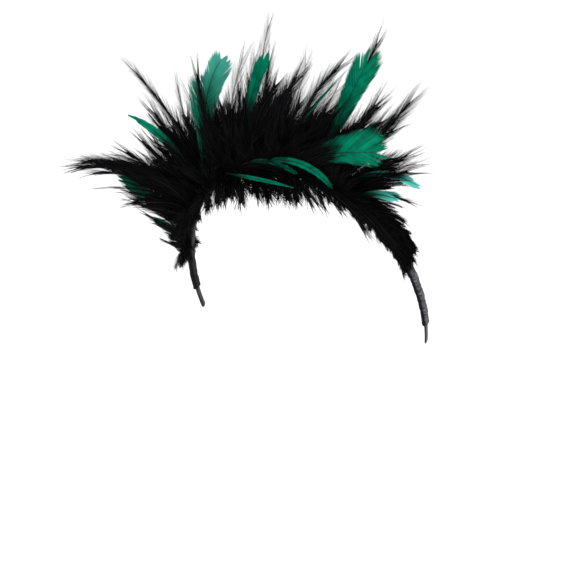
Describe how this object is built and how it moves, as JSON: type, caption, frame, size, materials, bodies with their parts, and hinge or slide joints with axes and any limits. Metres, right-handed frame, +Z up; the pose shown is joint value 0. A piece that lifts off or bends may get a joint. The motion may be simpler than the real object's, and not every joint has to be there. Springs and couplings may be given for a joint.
{
  "type": "feather headband",
  "caption": "Narrow satin-wound hair hoop with a tall crest of black hackle and green feathers along its top, shown as worn.",
  "frame": {"origin": "inner face of the wrapped band at its top centre, where the band seats on the crown of the head", "axes": "+Z up and -Y to the wearer's front with the band worn, +X to the wearer's left; the band's plane leans 37 degrees, its top forward of its tips"},
  "size_m": [0.2204, 0.1261, 0.1945],
  "materials": {
    "hoop_plastic": "moulded, glossy black",
    "satin_ribbon": "satin, soft sheen",
    "black_hackle": "feather, fine barbs, slight sheen",
    "green_feather": "dyed feather, translucent at its edges"
  },
  "bodies": {
    "root": {"hoop": "hoop_plastic", "ribbon_wrap": "satin_ribbon", "hackle_pad_1": "black_hackle", "hackle_pad_2": "black_hackle", "hackle_pad_3": "black_hackle", "hackle_pad_4": "black_hackle", "hackle_pad_5": "black_hackle", "hackle_pad_6": "black_hackle", "hackle_pad_7": "black_hackle", "hackle_pad_8": "black_hackle", "green_feather_1": "green_feather", "green_feather_2": "green_feather", "green_feather_3": "green_feather", "green_feather_4": "green_feather", "green_feather_5": "green_feather", "green_feather_6": "green_feather", "green_feather_7": "green_feather", "green_feather_8": "green_feather", "green_feather_9": "green_feather", "green_feather_10": "green_feather", "green_feather_11": "green_feather", "green_feather_12": "green_feather", "green_feather_13": "green_feather", "green_feather_14": "green_feather", "green_feather_15": "green_feather", "green_feather_16": "green_feather"}
  },
  "joints": []
}
